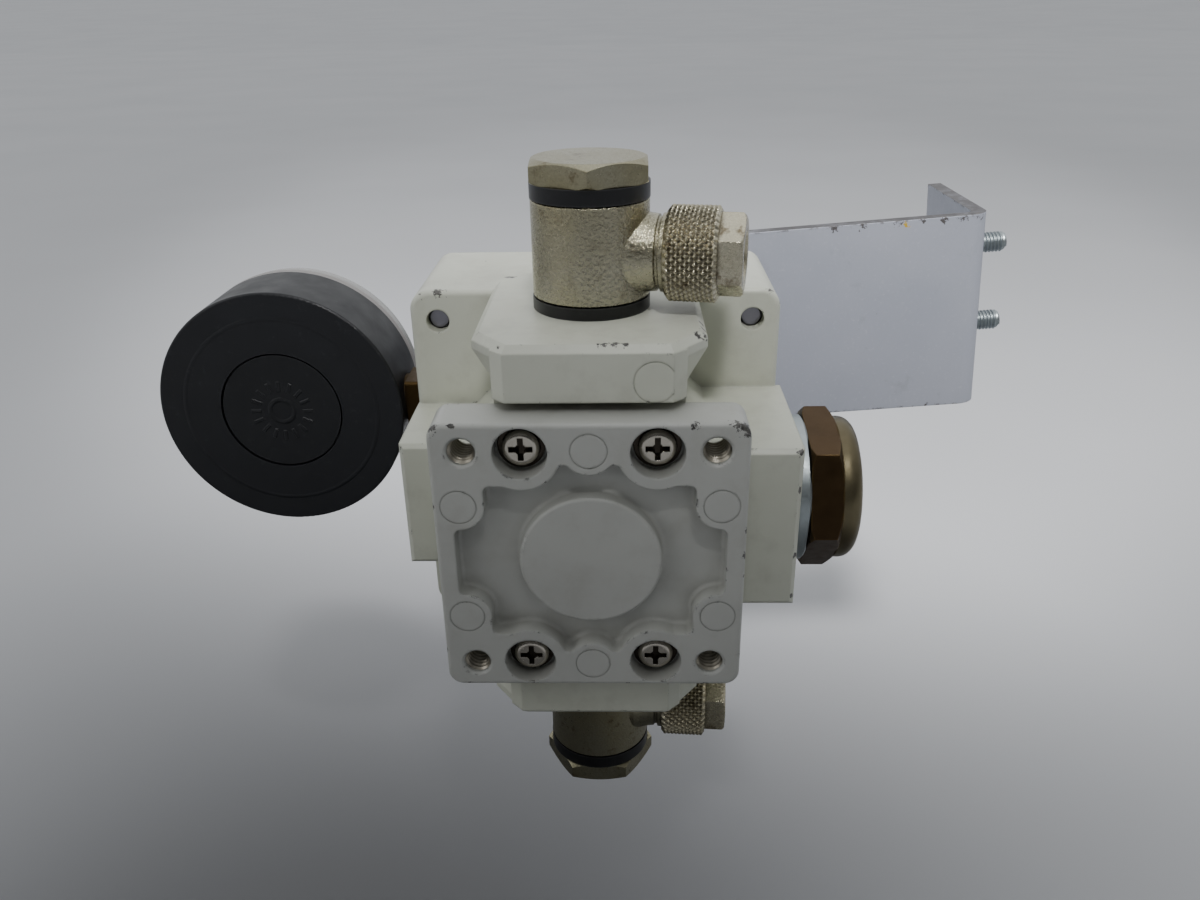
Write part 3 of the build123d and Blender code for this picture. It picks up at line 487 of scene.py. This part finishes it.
def union_nut(end, height, swivel):
    """Union nut: diamond-knurled grip, short hexagon and a stepped bore."""
    rings = [(NUT_START, round_at(WIDE_BORE)), (NUT_START, round_at(NUT_NECK))]
    for i in range(KNURL_RINGS + 1):
        place = KNURL_START + (KNURL_END - KNURL_START) * i / KNURL_RINGS
        rings.append((place, knurl_at(place, NUT_RADIUS, KNURL_PITCH, KNURL_COUNT, KNURL_DEPTH)))
    rings += [(HEX_START, round_at(NUT_NECK)),
              (HEX_START + 0.02, hexagon_at(NUT_FLATS, NUT_CORNERS - 0.25)),
              (HEX_START + 0.3, hexagon_at(NUT_FLATS, NUT_CORNERS))]
    for i in range(6):
        drop = i / 5
        corner = hexagon_at(NUT_FLATS - 0.3 * drop * drop, NUT_CORNERS - 1.5 * drop)
        rings.append((NUT_END - 1.1 + drop, corner))
    rings += [(NUT_END, round_at(6.9)), (NUT_END, round_at(MOUTH_RIM)),
              (NUT_END - 0.6, round_at(MOUTH_BORE)), (BORE_STEP, round_at(MOUTH_BORE)),
              (BORE_STEP, round_at(WIDE_BORE))]
    turn = radians(swivel)
    points, faces = lathe((0, PORT_Y, height), (cos(turn), -sin(turn), 0), rings, KNURL_AROUND)
    piece = add_piece(
        f"{end}_knurled_nut", points, faces, NUT_NICKEL, f"{end}_nut")
    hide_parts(f"{end}_union_nut")


UPPER_OUTLET_Z, UPPER_SWIVEL = 51.9, 11.0
LOWER_OUTLET_Z, LOWER_SWIVEL = -55.4, 4.0
union_nut("upper", UPPER_OUTLET_Z, UPPER_SWIVEL)
union_nut("lower", LOWER_OUTLET_Z, LOWER_SWIVEL)


THREAD_PITCH, THREAD_AROUND = 1.0, 48
RIDGE_FOOT, RIDGE_TOP = 0.46, 0.07


def thread(name, origin, direction, length, base, crest, look):
    """A single helical ridge from the base radius to the crest radius, faded out at both ends."""
    first, second, along = axes_of(direction)
    total = ceil(THREAD_AROUND * (length - THREAD_PITCH) / THREAD_PITCH)
    points, faces = [], []
    for i in range(total + 1):
        angle = tau * i / THREAD_AROUND
        place = THREAD_PITCH * (0.5 + i / THREAD_AROUND)
        fade = min(1.0, i / THREAD_AROUND * 2, (total - i) / THREAD_AROUND * 2)
        spoke = first * cos(angle) + second * sin(angle)
        top = base + (crest - base) * fade
        for shift, radius in ((-RIDGE_FOOT, base), (-RIDGE_TOP, top), (RIDGE_TOP, top), (RIDGE_FOOT, base)):
            points.append(Vector(origin) + along * (place + shift * THREAD_PITCH) + spoke * radius)
    for i in range(total):
        for k in range(4):
            after = (k + 1) % 4
            faces.append((4 * i + k, 4 * i + after, 4 * i + 4 + after, 4 * i + 4 + k))
    faces.append((0, 1, 2, 3))
    faces.append((4 * total + 3, 4 * total + 2, 4 * total + 1, 4 * total))
    add_piece(name, points, faces, look, "regulator")


CORNER_HOLE, HOLE_START, HOLE_DEPTH, HOLE_RADIUS, RIDGE_RADIUS = 23.0, 0.5, 9.4, 2.62, 2.12
for column, x in (("left", -CORNER_HOLE), ("right", CORNER_HOLE)):
    for row, z in (("lower", -CORNER_HOLE), ("upper", CORNER_HOLE)):
        thread(f"cover_thread_{row}_{column}", (x, HOLE_START, z), (0, 1, 0), HOLE_DEPTH, HOLE_RADIUS,
               RIDGE_RADIUS, THREAD)

# bracket bolts: hexagon head inside the bracket's flange, thread standing out of it
BRACKET_TURN, BRACKET_REACH, BOLT_Y = radians(4.1), 112.6, 133.0
BRACKET_THICKNESS, WASHER_THICKNESS = 4.0, 1.2
BOLT_HEIGHTS = (20.6, -3.4)
HEAD_HEIGHT, HEAD_FLATS, SHANK_RADIUS, CREST_RADIUS, BOLT_LENGTH = 4.0, 10.0, 2.62, 2.98, 13.4
BOLT_AROUND = 96
BOLT_ALONG = (cos(BRACKET_TURN), 0, sin(BRACKET_TURN))
BOLT_UP = (-sin(BRACKET_TURN), 0, cos(BRACKET_TURN))
BOLT_RINGS = (
    (-HEAD_HEIGHT, round_at(0.01)), (-HEAD_HEIGHT, hexagon_at(HEAD_FLATS - 0.4, 4.8)),
    (-HEAD_HEIGHT + 0.4, hexagon_at(HEAD_FLATS, 5.5)), (-0.15, hexagon_at(HEAD_FLATS, 5.6)),
    (0.0, hexagon_at(HEAD_FLATS - 0.2, 5.2)), (0.0, round_at(SHANK_RADIUS)),
    (BOLT_LENGTH - 0.7, round_at(SHANK_RADIUS)), (BOLT_LENGTH, round_at(1.9)),
    (BOLT_LENGTH, round_at(0.01)),
)
for number, height in enumerate(BOLT_HEIGHTS, 1):
    head = BRACKET_REACH - BRACKET_THICKNESS - WASHER_THICKNESS
    seat = tuple(head * a + height * b + c for a, b, c in zip(BOLT_ALONG, BOLT_UP, (0, BOLT_Y, 0)))
    points, faces = lathe(seat, BOLT_ALONG, BOLT_RINGS, BOLT_AROUND, False)
    shank = add_piece(f"bracket_bolt_{number}", points, faces, ZINC, "regulator")
    thread(f"bracket_bolt_thread_{number}", seat, BOLT_ALONG, BOLT_LENGTH - 0.1, SHANK_RADIUS - 0.02,
           CREST_RADIUS, ZINC)
    if number == 1:
        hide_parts("bracket_bolts")

# points round each turn of a spring, and round its wire
COIL_AROUND, WIRE_AROUND = 40, 12


def coil_spring(node, start_y, end_y, mean_radius, wire, turns):
    """A round-wire spring along the valve axis between the casting and a moving body."""
    total = turns * COIL_AROUND
    rise = (end_y - start_y - 2 * wire) / total
    points, faces = [], []
    for i in range(total + 1):
        angle = tau * i / COIL_AROUND
        spoke = Vector((cos(angle), 0, sin(angle)))
        middle = spoke * mean_radius + Vector((0, start_y + wire + rise * i, 0))
        for k in range(WIRE_AROUND):
            lean = tau * k / WIRE_AROUND
            points.append(middle + (spoke * cos(lean) + Vector((0, 1, 0)) * sin(lean)) * wire)
    for i in range(total):
        for k in range(WIRE_AROUND):
            after = (k + 1) % WIRE_AROUND
            faces.append(tuple(WIRE_AROUND * i + n for n in (k, WIRE_AROUND + k, WIRE_AROUND + after, after)))
    faces.append(tuple(range(WIRE_AROUND)))
    faces.append(tuple(WIRE_AROUND * total + k for k in reversed(range(WIRE_AROUND))))
    piece = add_piece(f"{node}_coil", points, faces, STEEL, None)
    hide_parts(node)
    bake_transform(piece)


# start and end along Y, mean radius, wire radius, turns
coil_spring("main_spring", 65.0, 104.0, 14.2, 1.7, 5)
coil_spring("valve_spring", 10.0, 21.5, 8.3, 0.5, 4)


# the gauge: its back carries a raised zone edge, a hub ring and rays, its dial plain marks
GAUGE = Vector((-78.2, 63.0, 5.0))
DIAL_FACE = Vector((GAUGE.x, 81.4, GAUGE.z))
ZONE_EDGE = ((24.3, 0.05), (24.1, -0.06), (23.4, -0.06), (22.8, 0.05))
HUB_RING = ((3.6, 0.27), (3.3, 0.1), (2.6, 0.1), (2.3, 0.27))


def ring_strip(name, radii_depths, look, around):
    """A thin raised ring on the gauge's back, through (radius, depth) points about its centre."""
    rings = [(depth, round_at(radius)) for radius, depth in radii_depths]
    points, faces = lathe(GAUGE, (0, 1, 0), rings, around, False)
    add_piece(name, points, faces, look, "regulator")


ring_strip("gauge_zone_edge", ZONE_EDGE, BLACK_CASE, 128)
ring_strip("gauge_hub_ring", HUB_RING, BLACK_DISC, 96)


def raised_bars(name, centre, bars, look, front):
    """Flat raised bars standing like spokes, as one piece; each bar is its angle and two outlines.

    An outline is its depth, its near and far reach, and half its width. The second one is the bar's
    face, which looks to the front (-Y) or, with front False, to the back.
    """
    points, faces = [], []
    for angle, outlines in bars:
        outward = Vector((cos(angle), 0, sin(angle)))
        beside = Vector((-sin(angle), 0, cos(angle)))
        start = len(points)
        for depth, near, far, half in outlines:
            for reach, side in ((near, -1), (far, -1), (far, 1), (near, 1)):
                points.append(centre + outward * reach + beside * side * half + Vector((0, depth, 0)))
        face = (4, 5, 6, 7)
        sides = [(k, (k + 1) % 4, 4 + (k + 1) % 4, 4 + k) for k in range(4)]
        for loop in [face] + sides:
            faces.append(tuple(start + k for k in (loop if front else reversed(loop))))
    add_piece(name, points, faces, look, "regulator", 10.0)


# sixteen rays pressed up round the hub, their sides sloping
RAYS, RAY_NEAR, RAY_FAR, RAY_HALF, RAY_SLOPE = 16, 5.3, 7.6, 0.3, 0.2
raised_bars("gauge_rays", GAUGE, [
    (tau * i / RAYS, ((0.27, RAY_NEAR - RAY_SLOPE, RAY_FAR + RAY_SLOPE, RAY_HALF + RAY_SLOPE),
                      (0.12, RAY_NEAR, RAY_FAR, RAY_HALF)))
    for i in range(RAYS)], BLACK_DISC, True)

# marks round the dial over the pointer's sweep, every fifth one longer and wider
TICKS, SWEEP_START, SWEEP, TICK_FAR, TICK_HEIGHT = 41, -45, 270, 25.0, 0.06
LONG_TICK, SHORT_TICK = (20.6, TICK_FAR, 0.35), (22.6, TICK_FAR, 0.15)
ticks = []
for i in range(TICKS):
    shape = LONG_TICK if i % 5 == 0 else SHORT_TICK
    ticks.append((radians(SWEEP_START + SWEEP * i / (TICKS - 1)), ((0.0, *shape), (TICK_HEIGHT, *shape))))
raised_bars("dial_ticks", DIAL_FACE, ticks, POINTER, False)

# ---------------------------------------------------------------- light and floor
FLOOR_Z, FLOOR_HALF = -0.16, 150.0
FLOOR_BEND, FLOOR_CLIMB = 6.0, 6.0
GAUZE_HALF, GAUZE_CENTRE = 0.6, (-0.09, 0.0, -0.125)
GAUZE_FADE, GAUZE_DENSITY = (0.08, 0.36), 0.78
WORLD_STRENGTH, WORLD_DARK = 0.84, 0.07
WORLD_LEAN, WORLD_FADE = (-0.08, 0.62, 0.58), (-0.35, 0.75)
SKY_TINT = (0.96, 0.98, 1.0, 1)
SPOT_ANGLE, SPOT_BLEND = 46.0, 0.5
# name, kind, place, aim, size, power
LIGHTS = (
    ("key", "AREA", (0.20, 0.45, 0.95), (0.05, 0.20, 0), 0.9, 0.7),
    ("front", "SPOT", (0.10, -0.40, 0.80), (0.08, 0.78, -0.16), 0.08, 52.0),
    ("left", "AREA", (-0.60, -0.35, 0.34), (0, 0.03, 0), 0.4, 0.65),
)


def stage_piece(name, corners, faces, place, look):
    """A flat piece of the stage that isn't part of the object."""
    mesh = bpy.data.meshes.new(name)
    mesh.from_pydata(corners, [], faces)
    mesh.materials.append(look)
    piece = bpy.data.objects.new(name, mesh)
    piece.location = place
    bpy.context.scene.collection.objects.link(piece)
    return piece


def make_floor():
    """Flat floor that climbs gently far behind, so that the camera sees no horizon."""
    g = Graph("floor_grey")
    colour = g.mix(g.remap(g.noise(3.0, 2.0), 0.3, 0.7), rgb(214, 215, 218), rgb(209, 210, 213))
    look = g.set(Base_Color=colour, Roughness=0.85, Specular_IOR_Level=0.2)
    half, bend, climb = FLOOR_HALF, FLOOR_BEND, FLOOR_CLIMB
    corners = [(-half, -half, 0), (half, -half, 0), (half, bend, 0), (-half, bend, 0),
               (half, half, climb), (-half, half, climb)]
    stage_piece("floor", corners, [(0, 1, 2, 3), (3, 2, 4, 5)], (0, 0, FLOOR_Z), look)


def make_gauze():
    """Dark gauze just above the floor, thinner outwards; the camera doesn't see it, only its shade."""
    g = Graph("gauze_black")
    reach = g.add("ShaderNodeVectorMath", {0: g.place}, operation="LENGTH").outputs["Value"]
    cover = g.remap(reach, *GAUZE_FADE, GAUZE_DENSITY, 0.0)
    look = g.set(Base_Color=(0.02, 0.02, 0.02, 1), Roughness=0.9, Alpha=cover)
    half = GAUZE_HALF
    corners = [(-half, -half, 0), (half, -half, 0), (half, half, 0), (-half, half, 0)]
    gauze = stage_piece("gauze", corners, [(0, 1, 2, 3)], GAUZE_CENTRE, look)
    gauze.visible_camera = False


def make_world():
    """A room that is bright above and behind the object, and dark behind the camera."""
    world = bpy.data.worlds.new("studio")
    bpy.context.scene.world = world
    world.use_nodes = True
    tree = world.node_tree
    background = tree.nodes["Background"]
    background.inputs[1].default_value = WORLD_STRENGTH
    direction = tree.nodes.new("ShaderNodeTexCoord").outputs["Generated"]
    lean = tree.nodes.new("ShaderNodeVectorMath")
    lean.operation = "DOT_PRODUCT"
    lean.inputs[1].default_value = WORLD_LEAN
    tree.links.new(direction, lean.inputs[0])
    ramp = tree.nodes.new("ShaderNodeMapRange")
    ramp.interpolation_type = "SMOOTHSTEP"
    for key, value in zip(("From Min", "From Max", "To Min", "To Max"), (*WORLD_FADE, WORLD_DARK, 1.0)):
        ramp.inputs[key].default_value = value
    tree.links.new(lean.outputs["Value"], ramp.inputs["Value"])
    tint = tree.nodes.new("ShaderNodeMix")
    tint.data_type = "RGBA"
    tint.inputs[6].default_value = (0, 0, 0, 1)
    tint.inputs[7].default_value = SKY_TINT
    tree.links.new(ramp.outputs[0], tint.inputs[0])
    tree.links.new(tint.outputs[2], background.inputs[0])


def make_lights():
    for name, kind, place, aim, size, power in LIGHTS:
        data = bpy.data.lights.new(name, kind)
        data.energy = power
        if kind == "SPOT":
            data.shadow_soft_size = size
            data.spot_size, data.spot_blend = radians(SPOT_ANGLE), SPOT_BLEND
        else:
            data.size = size
        light = bpy.data.objects.new(name, data)
        light.location = place
        light.rotation_mode = "QUATERNION"
        light.rotation_quaternion = (Vector(aim) - Vector(place)).to_track_quat("-Z", "Y")
        bpy.context.scene.collection.objects.link(light)


make_floor()
make_gauze()
make_world()
make_lights()
